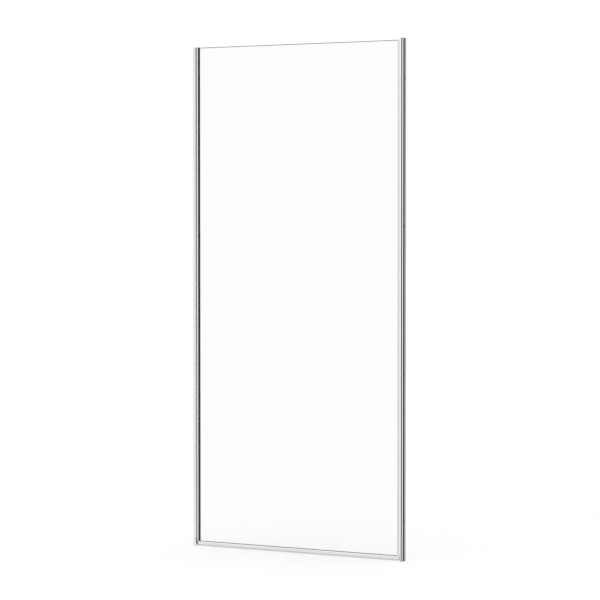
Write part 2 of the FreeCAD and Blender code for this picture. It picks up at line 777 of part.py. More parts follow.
def make_strike_caps():
    """End caps over the strike's two profiles, with spigots in the head's chambers."""
    clear = size["spigot_clear"]
    spigots = [
        box(chamber_x0 + clear, chamber_x1 - clear, chamber_y0 + clear, chamber_y1 - clear),
        box(chamber_x0 + clear, chamber_x1 - clear, clear - chamber_y1, -chamber_y0 - clear),
    ]
    plate = [box(strike_face_x, strike_wall_x, -strike_y, strike_y, size["strike_round"])]
    top = Piece("strike_top_cap")
    top.pad(plate, strike_z1, frame_top)
    top.pad(spigots, strike_z1 - size["end_cap_spigot"], strike_z1)
    bottom = Piece("strike_bottom_cap")
    bottom.pad(plate, ZERO, strike_z0)
    bottom.pad(spigots, strike_z0, strike_z0 + size["end_cap_spigot"])


def make_strike_lock_screws():
    """Screws through the wall profile's inner flange into the strike's leg."""
    piece = Piece("strike_lock_screws")
    head_r = size["lock_screw_head_dia"] / 2
    head_y = strike_y + size["lock_screw_head"]
    slope = size["lock_screw_slope"]
    section = Outline(
        (ZERO, strike_leg_y0), (lock_screw_r, strike_leg_y0), (lock_screw_r, strike_y), (head_r, strike_y),
        (head_r, head_y - slope), (head_r - slope, head_y), (ZERO, head_y),
    )
    for z in lock_screw_heights:
        piece.turn(section, lock_screw_x, "XY_Plane", z)


make_hinge_wall_profile()
make_rebate_seal()
make_top_pivot_plate()
make_pivot_foot()
make_foot_cap()
make_pivot_pins()
make_port_screws()
make_leaf_stile()
make_pivot_bushes()
make_stile_gasket("stile_gasket_front", -1)
make_stile_gasket("stile_gasket_back", 1)
make_glass_edge_packers()
make_glass_panel()
make_bottom_rail()
make_rail_glazing_strip()
make_drip_seal()
make_rail_caps()
make_edge_magnet_seal()
make_strike_wall_profile()
make_strike_profile()
make_strike_magnet()
make_strike_caps()
make_strike_lock_screws()

doc.recompute()

for thing in doc.Objects:
    if "Invalid" in thing.State or "Error" in thing.State:
        raise RuntimeError(f"{thing.Name} failed: {thing.State}")
    if thing.TypeId == "PartDesign::Pocket" and thing.Shape.Volume >= thing.BaseFeature.Shape.Volume:
        raise RuntimeError(f"{thing.Name} cuts nothing")
for piece in pieces:
    if piece.body.Shape.isNull() or not piece.body.Shape.isValid():
        raise RuntimeError(f"{piece.name} has no valid shape")

os.makedirs("parts", exist_ok=True)
for piece in pieces:
    piece.body.Shape.exportStep(f"parts/{piece.body.Label}.step")
    print(f"{piece.name}: {len(piece.body.Shape.Solids)} solids, {piece.body.Shape.Volume:.0f} mm3")
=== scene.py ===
# %% [markdown]
# A niche shower door: a clear glass leaf on a round hinge barrel, which closes on a magnetic strike
# profile. The solids come from the packed model and stay where they are. This lesson sets up the camera and
# a plain white studio, gives every surface its finish, and rebuilds the stile, the rail, the seals, the caps
# and the screws with the small rounds and recesses that the solids leave out.

import json
from math import asin, cos, pi, radians, sin

import bmesh
import bpy
from mathutils import Matrix, Vector


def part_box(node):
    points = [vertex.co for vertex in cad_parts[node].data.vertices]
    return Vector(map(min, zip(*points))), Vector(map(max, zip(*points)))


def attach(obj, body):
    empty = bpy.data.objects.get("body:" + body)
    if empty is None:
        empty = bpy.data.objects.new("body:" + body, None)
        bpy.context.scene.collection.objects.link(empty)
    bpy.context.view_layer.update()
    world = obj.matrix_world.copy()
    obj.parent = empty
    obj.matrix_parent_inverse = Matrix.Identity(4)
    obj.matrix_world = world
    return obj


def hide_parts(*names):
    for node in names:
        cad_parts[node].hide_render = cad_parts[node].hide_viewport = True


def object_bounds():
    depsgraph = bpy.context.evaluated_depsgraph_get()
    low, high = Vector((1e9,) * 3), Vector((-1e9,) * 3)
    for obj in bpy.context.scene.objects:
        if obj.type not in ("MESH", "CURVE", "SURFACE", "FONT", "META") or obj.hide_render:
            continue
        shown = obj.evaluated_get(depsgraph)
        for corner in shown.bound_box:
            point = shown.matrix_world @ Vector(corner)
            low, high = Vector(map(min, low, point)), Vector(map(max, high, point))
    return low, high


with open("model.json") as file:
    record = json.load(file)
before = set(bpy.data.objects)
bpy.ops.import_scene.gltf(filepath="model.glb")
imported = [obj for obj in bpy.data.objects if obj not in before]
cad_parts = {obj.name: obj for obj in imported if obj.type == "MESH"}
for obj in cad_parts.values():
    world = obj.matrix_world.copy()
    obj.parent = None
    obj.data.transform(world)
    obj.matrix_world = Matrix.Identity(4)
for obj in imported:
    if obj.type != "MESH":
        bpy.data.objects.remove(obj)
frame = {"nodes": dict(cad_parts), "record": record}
cad_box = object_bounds()
MM = 0.001
print("solids:", len(frame["nodes"]), "size in mm:", [round(x / MM, 1) for x in cad_box[1] - cad_box[0]])

# %% [markdown]
# The photo was taken from the right of the door's middle, a little above half its height, with a long
# lens. The upright edges stay upright in the picture. A level camera with a large lens shift gives that,
# but the shift would push the door out of the other views, so the camera looks down by a degree and a half
# and keeps only a small shift.

# %% Camera
CAMERA_PLACE = Vector((3.6387, -7.3452, 1.2791))
CAMERA_YAW = radians(26.257)
CAMERA_PITCH = radians(1.519)
CAMERA_LENS = 128.96
CAMERA_SHIFT_Y = -0.0405
CAMERA_REACH = 100.0


def show(thing):
    """Put an object in the scene."""
    bpy.context.scene.collection.objects.link(thing)


camera = bpy.data.objects.new("camera", bpy.data.cameras.new("camera"))
show(camera)
camera.location = CAMERA_PLACE
camera.rotation_euler = (pi / 2 - CAMERA_PITCH, 0, CAMERA_YAW)
camera.data.lens = CAMERA_LENS
camera.data.shift_y = CAMERA_SHIFT_Y
camera.data.clip_end = CAMERA_REACH
bpy.context.scene.camera = camera
bpy.context.scene.view_settings.view_transform = "Standard"
door_middle = (cad_box[0] + cad_box[1]) / 2
print("camera is", round((CAMERA_PLACE - door_middle).length, 2), "m from the middle of the door")

# %% [markdown]
# Shader maths reads best as arithmetic. A small class wraps a socket, so that `1 - mask` or `rough + 0.1`
# adds the Math node by itself. A mask is a value that goes from 0 to 1 at a place on the piece, with a soft
# edge, so that it doesn't flicker where it is narrower than a pixel. Noise keeps near its middle, so a finish
# spreads it to the range that it needs.

# %% Values as expressions
SOFT_EDGE = 0.0002
NOISE_MIDDLE, NOISE_REACH = 0.5, 0.3


class Value:
    """An output socket that Python's operators can use."""

    def __init__(self, shader, socket):
        self.shader = shader
        self.socket = socket

    def math(self, operation, *numbers):
        return self.shader.node("Math", {"operation": operation}, dict(enumerate(numbers)))

    def __add__(self, other):
        return self.math("ADD", self, other)

    def __sub__(self, other):
        return self.math("SUBTRACT", self, other)

    def __mul__(self, other):
        return self.math("MULTIPLY", self, other)

    def __rsub__(self, other):
        return self.math("SUBTRACT", other, self)

    __radd__ = __add__
    __rmul__ = __mul__

    def __abs__(self):
        return self.math("ABSOLUTE", self)

    def maximum(self, other):
        return self.math("MAXIMUM", self, other)

    def below(self, limit):
        """1 below a limit and 0 above it, with a hard edge."""
        return self.math("LESS_THAN", self, limit)

    def past(self, limit, soft=SOFT_EDGE):
        """0 before a limit and 1 past it, with a soft edge."""
        return self.ramp(limit - soft, limit + soft)

    def within(self, low, high):
        """1 between two limits and 0 outside them, with soft edges."""
        return self.past(low) * (1 - self.past(high))

    def spread(self, low, high, reach=NOISE_REACH):
        """Noise stretched to a range: most of it lies within a reach of its middle."""
        return self.ramp(NOISE_MIDDLE - reach, NOISE_MIDDLE + reach, low, high)

    def ramp(self, low, high, new_low=0.0, new_high=1.0):
        """A smooth step from new_low to new_high as this value goes from low to high."""
        settings = {"interpolation_type": "SMOOTHSTEP"}
        sockets = {"Value": self, "From Min": low, "From Max": high, "To Min": new_low, "To Max": new_high}
        return self.shader.node("MapRange", settings, sockets)


print("masks have edges of", SOFT_EDGE / MM, "mm on each side of their limits")

# %% [markdown]
# Every other node comes from one method: its settings are set first, because some of them change which
# sockets it has, and then its sockets get a number or a link. The other methods are the few nodes that most
# finishes of this door need: a place on the piece, noise, a mix of two colours and a bump.

# %% Nodes of a finish
NOISE_ROUGHNESS = 0.55
MIX_FIRST, MIX_SECOND, MIX_COLOUR = 6, 7, 2


class Shader:
    """A node tree that is written as expressions."""

    def __init__(self, tree):
        self.tree = tree
        tree.nodes.clear()

    def node(self, kind, settings=None, sockets=None, output=0):
        """Add a node, set it up, fill its sockets and return one of its outputs, if it has any."""
        made = self.tree.nodes.new("ShaderNode" + kind)
        for name, setting in (settings or {}).items():
            setattr(made, name, setting)
        for name, content in (sockets or {}).items():
            if isinstance(content, Value):
                self.tree.links.new(content.socket, made.inputs[name])
            else:
                made.inputs[name].default_value = content
        return Value(self, made.outputs[output]) if made.outputs else None

    def place(self, stretch=(1, 1, 1)):
        """The point on the piece, in metres from the door's origin, stretched along each axis."""
        point = self.node("TexCoord", output="Object")
        return self.node("Mapping", {"vector_type": "POINT"}, {"Vector": point, "Scale": stretch})

    def along(self, axis):
        """The point's place along X, Y or Z, in metres from the door's origin."""
        point = self.node("TexCoord", output="Object")
        return self.node("SeparateXYZ", None, {"Vector": point}, output=axis)

    def noise(self, stretch, detail=3.0):
        """Noise between 0 and 1, whose grain is 1 metre divided by the stretch along each axis."""
        return self.node("TexNoise", {"noise_dimensions": "3D"}, {
            "Vector": self.place(stretch), "Scale": 1.0, "Detail": detail, "Roughness": NOISE_ROUGHNESS})

    def tint(self, mask, first, second):
        """A colour between two others, each three numbers or the output of a node."""
        pair = [colour if isinstance(colour, Value) else (*colour, 1.0) for colour in (first, second)]
        sockets = {"Factor": mask, MIX_FIRST: pair[0], MIX_SECOND: pair[1]}
        return self.node("Mix", {"data_type": "RGBA"}, sockets, output=MIX_COLOUR)

    def bump(self, height, strength, depth):
        """A normal that follows a height between 0 and 1, as deep as given in metres."""
        return self.node("Bump", None, {"Height": height, "Strength": strength, "Distance": depth})


def finish(name):
    """A new material and its shader, empty."""
    material = bpy.data.materials.new(name)
    material.use_nodes = True
    return material, Shader(material.node_tree)


def surface(shader, **sockets):
    """End a material in one Principled BSDF. Socket names have _ for their spaces."""
    named = {name.replace("_", " "): content for name, content in sockets.items()}
    principled = shader.node("BsdfPrincipled", None, named)
    shader.node("OutputMaterial", None, {"Surface": principled})


print("a shader's methods:", ", ".join(name for name in vars(Shader) if not name.startswith("_")))

# %% [markdown]
# The photo has a white studio with no horizon. One white background would look the same, but its light, with
# the lamps', would burn out the white seal. So two backgrounds are mixed by the kind of ray: the world is
# white to the eye, to reflections and through the glass, and the light that it sends to the door stays at a
# plain level. A ray that has met a matt surface carries light, whatever it meets next.

# %% World
STUDIO_LIGHT, WHITE_LIGHT = 0.85, 1.0
FIRST_BOUNCE = 0.5
WHITE = (1, 1, 1, 1)


def seen_directly(shader):
    """1 for rays from the eye, from reflections and through glass, 0 for rays that carry light."""
    eye, mirror, through, matt_bounces = [shader.node("LightPath", output=name) for name in (
        "Is Camera Ray", "Is Glossy Ray", "Is Transmission Ray", "Diffuse Depth")]
    return eye.maximum(mirror).maximum(through) * matt_bounces.below(FIRST_BOUNCE)


world = bpy.data.worlds.new("studio")
bpy.context.scene.world = world
world.use_nodes = True
sky = Shader(world.node_tree)
dim, white = [sky.node("Background", None, {"Color": WHITE, "Strength": strength})
              for strength in (STUDIO_LIGHT, WHITE_LIGHT)]
mixed = sky.node("MixShader", None, {0: seen_directly(sky), 1: dim, 2: white})
sky.node("OutputWorld", None, {"Surface": mixed})
print("the world looks white and lights the door with", STUDIO_LIGHT)

# %% [markdown]
# The floor shows only a breath of shadow under the door. A floor that only glows would lose it, and one
# that is only matt would look grey. So near the door the eye sees a matt paint with some glow, and further
# out plain white. The light that the floor sends back to the door is that of a plain matt paint.

# %% Floor
FLOOR_HALF = 30.0
FLOOR_MATT = 0.8
SEEN_MATT, SEEN_GLOW = 0.4, 0.65
NEAR_EDGE, FAR_EDGE = 0.9, 2.2

floor_mesh = bpy.data.meshes.new("floor")
bm = bmesh.new()
bmesh.ops.create_grid(bm, x_segments=1, y_segments=1, size=FLOOR_HALF)
bm.to_mesh(floor_mesh)
bm.free()
floor = bpy.data.objects.new("floor", floor_mesh)
show(floor)

paint, shader = finish("pale_floor")
distance = shader.node("VectorMath", {"operation": "LENGTH"}, {0: shader.place()}, output="Value")
matt, seen_matt = [shader.node("BsdfDiffuse", None, {"Color": (grey, grey, grey, 1)})
                   for grey in (FLOOR_MATT, SEEN_MATT)]
glow, far = [shader.node("Emission", None, {"Color": WHITE, "Strength": strength})
             for strength in (SEEN_GLOW, WHITE_LIGHT)]
near = shader.node("AddShader", None, {0: seen_matt, 1: glow})
shown = shader.node("MixShader", None, {0: distance.ramp(NEAR_EDGE, FAR_EDGE), 1: near, 2: far})
mixed = shader.node("MixShader", None, {0: seen_directly(shader), 1: matt, 2: shown})
shader.node("OutputMaterial", None, {"Surface": mixed})
floor_mesh.materials.append(paint)
print("the floor is plain white from", FAR_EDGE, "m out")

# %% [markdown]
# Two large soft lamps give the round edges their shape: a key lamp from the left and a weaker fill lamp from
# the right, both in front of the door and above its middle. Small lamps would draw hard shadows, so these
# are wider than the door. The photo shows no lamp in the metal or in the glass, so rays from reflections and
# through the pane don't meet them.

# %% Lamps
LAMP_TARGET = Vector((0, 0, 1))
LAMP_WIDTH = 2.4
LAMPS = {
    "key_lamp": (Vector((-2.2, -4.6, 3.4)), 45),
    "fill_lamp": (Vector((3.4, -3.6, 2.4)), 15),
}

for name, (spot, watts) in LAMPS.items():
    lamp = bpy.data.lights.new(name, "AREA")
    lamp.size = LAMP_WIDTH
    lamp.energy = watts
    holder = bpy.data.objects.new(name, lamp)
    holder.location = spot
    holder.rotation_euler = (LAMP_TARGET - spot).to_track_quat("-Z", "Y").to_euler()
    holder.visible_glossy = False
    holder.visible_transmission = False
    show(holder)
print("lamps:", ", ".join(LAMPS))

# %% [markdown]
# The grooves of a profile get painted shade: they are painted dark and made rougher, where shade falls in
# them. The faces that go against a wall get a lighter painted shade, for the side that faces away from the
# light. Faces with a material of their own would need new meshes, so a mask finds these places instead: each
# groove is a range along X and one along Y, in metres, and its mask is 1 where a point lies in both. The rail
# gets a little painted shade below its step, and more in a painted shade line right under the step.

# %% Painted shade on the profiles
# Painted shade: the grooves of the uprights are painted dark, where shade falls in them.
SHADED_GROOVES = {
    "neck of the stile": ((-0.4336, -0.4286), (-0.0083, 0.0083)),
    "reveal of the strike": ((0.4402, 0.4446), (-0.0125, 0.0125)),
    "front leg of the strike": ((0.4405, 0.4476), (-0.0114, -0.0085)),
    "back leg of the strike": ((0.4405, 0.4476), (0.0085, 0.0114)),
    "sealant rebate": ((0.4481, 0.4510), (-0.0125, -0.0031)),
}
# Painted shade: the faces against a wall are painted darker, as the side that faces away from the light.
WALL_FACE, WALL_SOFT, WALL_SHADE = 0.4499, 0.00005, 0.62
# Painted shade on the rail: a little below its step, and a darker line of it right under the step.
RAIL_STEP, SHADE_LINE = 0.0140, 0.0020
RAIL_LOW_SHADE, SHADE_LINE_DARK = 0.12, 0.36


def upright_painted_shade(shader):
    """Painted shade on an upright: 1 in its grooves, less on its wall faces, 0 elsewhere."""
    x, y = shader.along("X"), shader.along("Y")
    shade_mask = abs(x).past(WALL_FACE, WALL_SOFT) * WALL_SHADE
    for (x0, x1), (y0, y1) in SHADED_GROOVES.values():
        shade_mask = shade_mask.maximum(x.within(x0, x1) * y.within(y0, y1))
    return shade_mask


def rail_painted_shade(shader):
    """Painted shade on the rail: a little below its step, and more in a shade line right under it."""
    z = shader.along("Z")
    low_shade = (1 - z.past(RAIL_STEP)) * RAIL_LOW_SHADE
    return low_shade.maximum(z.within(RAIL_STEP - SHADE_LINE, RAIL_STEP) * SHADE_LINE_DARK)


print("unpolished:", ", ".join(SHADED_GROOVES))

# %% [markdown]
# The profiles are drawn aluminium, polished and clear anodised where they show. Drawing leaves very fine
# lines along the profile, which stretch its highlights. An anisotropic shader could stretch them too, but
# the lines themselves show from close by. So noise makes them, stretched along the drawing direction: once
# for the uprights and once for the level rail. The strike and the rail are copies of the hinge side's
# aluminium painted lighter, which is painted light. Where its shade mask is 1, a profile gets painted shade.

# %% Drawn aluminium
ALONG_Z = (2600, 2600, 5)
ALONG_X = (5, 2600, 2600)
CLOUDS, CLOUD_TONE, CLOUD_ROUGH = (6, 6, 6), 0.03, 0.05
# The colour of all painted shade on the profiles, and the roughness that goes with it.
PAINTED_SHADE_TONE, SHADE_ROUGH = (0.03, 0.03, 0.032), 0.2
POLISH, POLISH_REACH = (0.18, 0.28), 0.25
LINE_STRENGTH, LINE_DEPTH = 0.12, 0.00003


def drawn_aluminium(name, stretch, painted_shade, bright):
    """Bright drawn metal with painted shade: darker and rougher where its shade mask is 1."""
    material, shader = finish(name)
    lines = shader.noise(stretch, detail=4.0)
    clouds = shader.noise(CLOUDS, detail=2.0)
    shade_mask = painted_shade(shader)
    polished = shader.tint(clouds, (bright - CLOUD_TONE,) * 3, (bright + CLOUD_TONE,) * 3)
    surface(shader, Base_Color=shader.tint(shade_mask, polished, PAINTED_SHADE_TONE), Metallic=1.0,
            Roughness=lines.spread(*POLISH, POLISH_REACH) + clouds * CLOUD_ROUGH + shade_mask * SHADE_ROUGH,
            Normal=shader.bump(lines, LINE_STRENGTH, LINE_DEPTH))
    return material


hinge_metal = drawn_aluminium("hinge_aluminium", ALONG_Z, upright_painted_shade, bright=0.82)
# Painted light: the strike and the rail are the hinge side's aluminium, painted lighter.
strike_metal = drawn_aluminium("strike_aluminium", ALONG_Z, upright_painted_shade, bright=0.93)
rail_metal = drawn_aluminium("rail_aluminium", ALONG_X, rail_painted_shade, bright=0.95)
print("drawn metal:", hinge_metal.name, strike_metal.name, rail_metal.name)

# %% [markdown]
# The pivots are castings, chrome plated, and the pins and screws are turned stainless steel. A perfect mirror
# would vanish in a white studio, so the chrome has a faint smear, which softens its reflections, and a slight
# ripple from polishing. The back of the foot, behind the knuckle, gets painted shade: a dark, rougher colour
# that stands in for the shade seen in the gap beside the rail's end. Steel keeps fine turning marks.

# %% Chrome and steel
# Painted shade: chrome behind the knuckle and low down is painted dark.
SHADE_BEHIND, SHADE_SOFT, SHADE_BELOW = 0.0085, 0.0005, 0.1
FOOT_SHADE_TONE, FOOT_SHADE_ROUGH = (0.05, 0.05, 0.052), 0.35
CHROME_TONES = (0.77, 0.775, 0.78), (0.83, 0.835, 0.84)
RIPPLES, RIPPLE_STRENGTH, RIPPLE_DEPTH = (90, 90, 90), 0.1, 0.0001
SMEARS, SMEAR_ROUGH, SMEAR_REACH = (400, 400, 400), (0.1, 0.2), 0.2
STEEL_TONES, STEEL_ROUGH = ((0.58, 0.58, 0.59), (0.72, 0.72, 0.73)), (0.22, 0.36)
TURNING, TURNING_STRENGTH, TURNING_DEPTH = (700, 700, 9000), 0.25, 0.00005

chrome, shader = finish("polished_chrome")
ripple = shader.noise(RIPPLES, detail=2.0)
smear = shader.noise(SMEARS)
behind = shader.along("Y").past(SHADE_BEHIND, SHADE_SOFT)
foot_shade = behind * shader.along("Z").below(SHADE_BELOW)
plated = shader.tint(ripple, *CHROME_TONES)
surface(shader, Base_Color=shader.tint(foot_shade, plated, FOOT_SHADE_TONE), Metallic=1.0,
        Roughness=smear.spread(*SMEAR_ROUGH, SMEAR_REACH) + foot_shade * FOOT_SHADE_ROUGH,
        Normal=shader.bump(ripple, RIPPLE_STRENGTH, RIPPLE_DEPTH))

steel, shader = finish("turned_steel")
marks = shader.noise(TURNING)
surface(shader, Base_Color=shader.tint(marks, *STEEL_TONES), Metallic=1.0,
        Roughness=marks.spread(*STEEL_ROUGH),
        Normal=shader.bump(marks, TURNING_STRENGTH, TURNING_DEPTH))
print("plated and turned metal:", chrome.name, steel.name)

# %% [markdown]
# The pane is clear tempered glass. Its two faces let everything through, with a faint cool tint. Its ground
# edges and the narrow arris beside the top one are matt, and their dark grey is painted shade: it stands in
# for the dark look that light inside the pane gives its edges, which the photo shows as a thin line along
# the top. The pane keeps its solid's mesh, so its edges can't be faces with a material of their own. Its own
# normal tells them apart instead: it points along Y on the two faces only. So the material is two shaders,
# mixed by that.

# %% Glass
GLASS_TINT, GLASS_IOR = (0.972, 0.977, 0.996, 1), 1.45
ARRIS, ARRIS_SOFT = 0.0020, 0.0001
EDGE_TURN, FACE_TURN = 0.8, 0.95
GRINDING, GROUND_ROUGH = (3000, 3000, 3000), (0.35, 0.55)
# Painted shade: the ground edges and the arris band are painted dark grey.
GROUND_SHADE_TONES = (0.02, 0.026, 0.025), (0.045, 0.055, 0.052)

clear_glass, shader = finish("clear_glass")
normal = shader.node("TexCoord", output="Normal")
facing = shader.node("SeparateXYZ", None, {"Vector": normal}, output="Y")
glass_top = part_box("glass_panel")[1].z
arris = shader.along("Z").past(glass_top - ARRIS, ARRIS_SOFT)
edge = arris.maximum(1 - abs(facing).ramp(EDGE_TURN, FACE_TURN))
grain = shader.noise(GRINDING, detail=2.0)
pane = shader.node("BsdfPrincipled", None, {
    "Base Color": GLASS_TINT, "Roughness": 0.0, "Transmission Weight": 1.0, "IOR": GLASS_IOR})
ground = shader.node("BsdfPrincipled", None, {
    "Base Color": shader.tint(grain, *GROUND_SHADE_TONES), "Roughness": grain.spread(*GROUND_ROUGH)})
mixed = shader.node("MixShader", None, {0: edge, 1: pane, 2: ground})
shader.node("OutputMaterial", None, {"Surface": mixed})
print("glass:", clear_glass.name, "with an arris of", ARRIS / MM, "mm")

# %% [markdown]
# The gaskets are matt rubber, and the closing and drip seals are a cloudy soft plastic with a thin gloss on
# its skin. The legs of the closing seal are light grey, and its magnet tube is white. The bushes are white
# acetal, the end caps a grey moulding with a fine spark texture, and the magnets are dark bonded strips. One
# flat colour would look like card, so all of them follow one recipe: a mottled colour and a skin of fine
# bumps.

# %% Rubber and plastics
MOTTLE = (40, 40, 40)
SKIN_SPREAD, SKIN_STRENGTH = 0.06, 0.3
SEAL_GLOSS = 0.15
TUBE_X, TUBE_SOFT = 0.4285, 0.0003
TUBE_WHITE = (0.88, 0.885, 0.89)


def moulded(name, first, second, rough, grain, depth, gloss=0.0, white_from=None):
    """A rubber or plastic between two colours, whose skin has some bumps per metre, as deep as given.

    Past a place along X, if there is one, it is white.
    """
    material, shader = finish(name)
    colour = shader.tint(shader.noise(MOTTLE), first, second)
    if white_from is not None:
        colour = shader.tint(shader.along("X").past(white_from, TUBE_SOFT), colour, TUBE_WHITE)
    skin = shader.noise((grain, grain, grain))
    surface(shader, Base_Color=colour, Metallic=0.0, Coat_Weight=gloss,
            Roughness=skin.spread(rough - SKIN_SPREAD, rough + SKIN_SPREAD),
            Normal=shader.bump(skin, SKIN_STRENGTH, depth))
    return material


black_rubber = moulded("black_rubber", (0.012, 0.012, 0.013), (0.028, 0.028, 0.03),
                       rough=0.55, grain=1800, depth=0.00008)
strip_rubber = moulded("strip_rubber", (0.07, 0.07, 0.072), (0.11, 0.11, 0.113),
                       rough=0.6, grain=1800, depth=0.00008)
soft_seal = moulded("soft_seal", (0.65, 0.66, 0.66), (0.72, 0.72, 0.725),
                    rough=0.36, grain=900, depth=0.00005, gloss=SEAL_GLOSS)
closing_seal = moulded("closing_seal", (0.7, 0.705, 0.71), (0.75, 0.755, 0.76),
                       rough=0.36, grain=900, depth=0.00005, gloss=SEAL_GLOSS, white_from=TUBE_X)
bonded_magnet = moulded("bonded_magnet", (0.035, 0.03, 0.028), (0.06, 0.052, 0.048),
                        rough=0.7, grain=2500, depth=0.0001)
white_acetal = moulded("white_acetal", (0.76, 0.76, 0.74), (0.82, 0.82, 0.8),
                       rough=0.4, grain=1200, depth=0.00003)
grey_cap = moulded("grey_cap", (0.24, 0.243, 0.246), (0.3, 0.304, 0.308),
                   rough=0.42, grain=2200, depth=0.00006)
mouldings = [black_rubber, strip_rubber, soft_seal, closing_seal, bonded_magnet, white_acetal, grey_cap]
print("moulded:", [material.name for material in mouldings])

# %% [markdown]
# The record names a material slot for each solid, and each slot has its finish. A few pieces have one of
# their own, because the photo shows them brighter than the others in their slot; on the strike and the rail
# that brighter tone is painted light. A solid keeps its mesh and only gets the material. The pane casts no
# shadow here: without it, the floor behind clear glass stays as light as in the photo.

# %% Finish the solids
FINISHES = {
    "profile_metal": hinge_metal, "pivot_metal": chrome, "steel": steel, "clear_glass": clear_glass,
    "dark_rubber": black_rubber, "strip_rubber": strip_rubber, "grey_seal": soft_seal,
    "magnet": bonded_magnet, "bush_plastic": white_acetal, "cap_plastic": grey_cap,
}
OWN_FINISH = {
    "bottom_rail": rail_metal, "strike_profile": strike_metal, "strike_wall_profile": strike_metal,
    "edge_magnet_seal": closing_seal,
}
SLOT_OF = {part["node"]: part["material_slot"] for part in frame["record"]["subparts"]}


def finish_of(node):
    """The material of a solid, and of the piece that stands for it."""
    return OWN_FINISH.get(node, FINISHES[SLOT_OF[node]])


for node in SLOT_OF:
    mesh = frame["nodes"][node].data
    mesh.materials.clear()
    mesh.materials.append(finish_of(node))
frame["nodes"]["glass_panel"].visible_shadow = False
print("finished solids:", len(frame["nodes"]))

# %% [markdown]
# Almost every piece of this door is a profile: one section, drawn or moulded at its full length. A curve
# could be given a depth, but a mesh can also be cut, closed and extruded further. So a section is a flat
# face, its rounded corners are vertex bevels, and its hollows are inner outlines that the fill leaves open.
# The sections are written in millimetres, as on a die drawing.

# %% Sections
ROUND_STEPS = 5


def draw(bm, corners, arc=()):
    """A flat face from an arc's vertices, if any, and corners: two numbers and, where one is round, a radius.

    It returns a vertex for each corner, and those of the corners that aren't round stay in the mesh.
    """
    verts = [bm.verts.new((corner[0], corner[1], 0)) for corner in corners]
    bm.faces.new([*arc, *verts])
    rounded = {}
    for vert, corner in zip(verts, corners):
        if len(corner) == 3:
            rounded.setdefault(corner[2], []).append(vert)
    for radius, group in rounded.items():
        bmesh.ops.bevel(bm, geom=group, offset=radius, offset_type="OFFSET", affect="VERTICES",
                        segments=ROUND_STEPS, profile=0.5, material=-1)
    return verts


def open_hollows(bm):
    """Fill all outlines again as one region, in which the inner outlines stay open."""
    bmesh.ops.delete(bm, geom=bm.faces[:], context="FACES_ONLY")
    bmesh.ops.triangle_fill(bm, use_beauty=True, edges=bm.edges[:])


def mirrored(half):
    """The corners of an upright's section from the half on one side: the second number changes sign."""
    return [*half, *((x, -y, *rest) for x, y, *rest in reversed(half))]


def mirrored_level(half):
    """The corners of a level section from the half on one side: the first number changes sign."""
    return [*half, *((-y, z, *rest) for y, z, *rest in reversed(half))]


def rectangle(x0, x1, y0, y1, *radius):
    """The corners of a rectangle, which may all be round."""
    return [(x0, y0, *radius), (x1, y0, *radius), (x1, y1, *radius), (x0, y1, *radius)]


print("sections are drawn in steps of", ROUND_STEPS, "per round corner")

# %% [markdown]
# An extrusion gives a section its length. It keeps the faces that it starts from, which close the near end
# of a new piece. Where it starts at the end of a mesh, they would stay inside it as a wall, so they are
# deleted. A bevel along the rim of an end makes it soft to the hand, as on a moulded cap.

# %% Extrusions
RIM_STEPS = 3


def extrude(bm, faces, length):
    """Extrude faces along Z and return the faces at the new end."""
    made = bmesh.ops.extrude_face_region(bm, geom=faces)["geom"]
    verts = [part for part in made if isinstance(part, bmesh.types.BMVert)]
    bmesh.ops.translate(bm, vec=(0, 0, length), verts=verts)
    return [part for part in made if isinstance(part, bmesh.types.BMFace)]


def lengthen(bm, faces, length):
    """Extrude faces at the end of a mesh further, so that none of them stays inside it."""
    grown = extrude(bm, faces, length)
    bmesh.ops.delete(bm, geom=faces, context="FACES")
    return grown


def soften(bm, faces, width):
    """Round the rim of the faces at an end."""
    rim = [edge for face in faces for edge in face.edges if not all(f in faces for f in edge.link_faces)]
    bmesh.ops.bevel(bm, geom=rim, offset=width, offset_type="OFFSET", affect="EDGES", segments=RIM_STEPS,
                    profile=0.5, material=-1)


print("rims are rounded in steps of", RIM_STEPS)

# %% [markdown]
# A finished mesh becomes a piece that stands for a solid: it moves with the same body, has the same finish,
# and hides the solid. Its ends come from the solid's box. A level piece is drawn upright and turned in its
# mesh, so that its object stays at the origin, unturned and unscaled.

# %% Pieces that stand for solids
SHARP = radians(32)
UPRIGHT = Matrix.Identity(4)
LEVEL = Matrix(((0, 0, 1, 0), (1, 0, 0, 0), (0, 1, 0, 0), (0, 0, 0, 1)))
BODY_OF = {node: body for body, nodes in frame["record"]["behaviour"]["bodies"].items() for node in nodes}


def ends(node):
    """The lowest and highest corner of a solid, in millimetres."""
    return [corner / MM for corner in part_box(node)]


def stand_in(node, bm, turn=UPRIGHT):
    """Make a piece of a mesh in millimetres, with the body and finish of its solid."""
    bmesh.ops.transform(bm, matrix=Matrix.Scale(MM, 4) @ turn, verts=bm.verts)
    bmesh.ops.recalc_face_normals(bm, faces=bm.faces)
    mesh = bpy.data.meshes.new(f"{node}_shape")
    bm.to_mesh(mesh)
    bm.free()
    mesh.shade_smooth()
    mesh.set_sharp_from_angle(angle=SHARP)
    mesh.materials.append(finish_of(node))
    piece = bpy.data.objects.new(f"{node}_shape", mesh)
    show(piece)
    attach(piece, BODY_OF[node])
    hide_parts(node)
    print(node, "has", len(mesh.polygons), "faces")


def profile(node, low, high, outlines, turn=UPRIGHT):
    """A profile of one section between two heights, or two places along X for a level one."""
    bm = bmesh.new()
    for corners in outlines:
        draw(bm, corners)
    if len(outlines) > 1:
        open_hollows(bm)
    bmesh.ops.translate(bm, vec=(0, 0, low), verts=bm.verts)
    extrude(bm, bm.faces[:], high - low)
    stand_in(node, bm, turn)


print("bodies:", sorted(set(BODY_OF.values())))

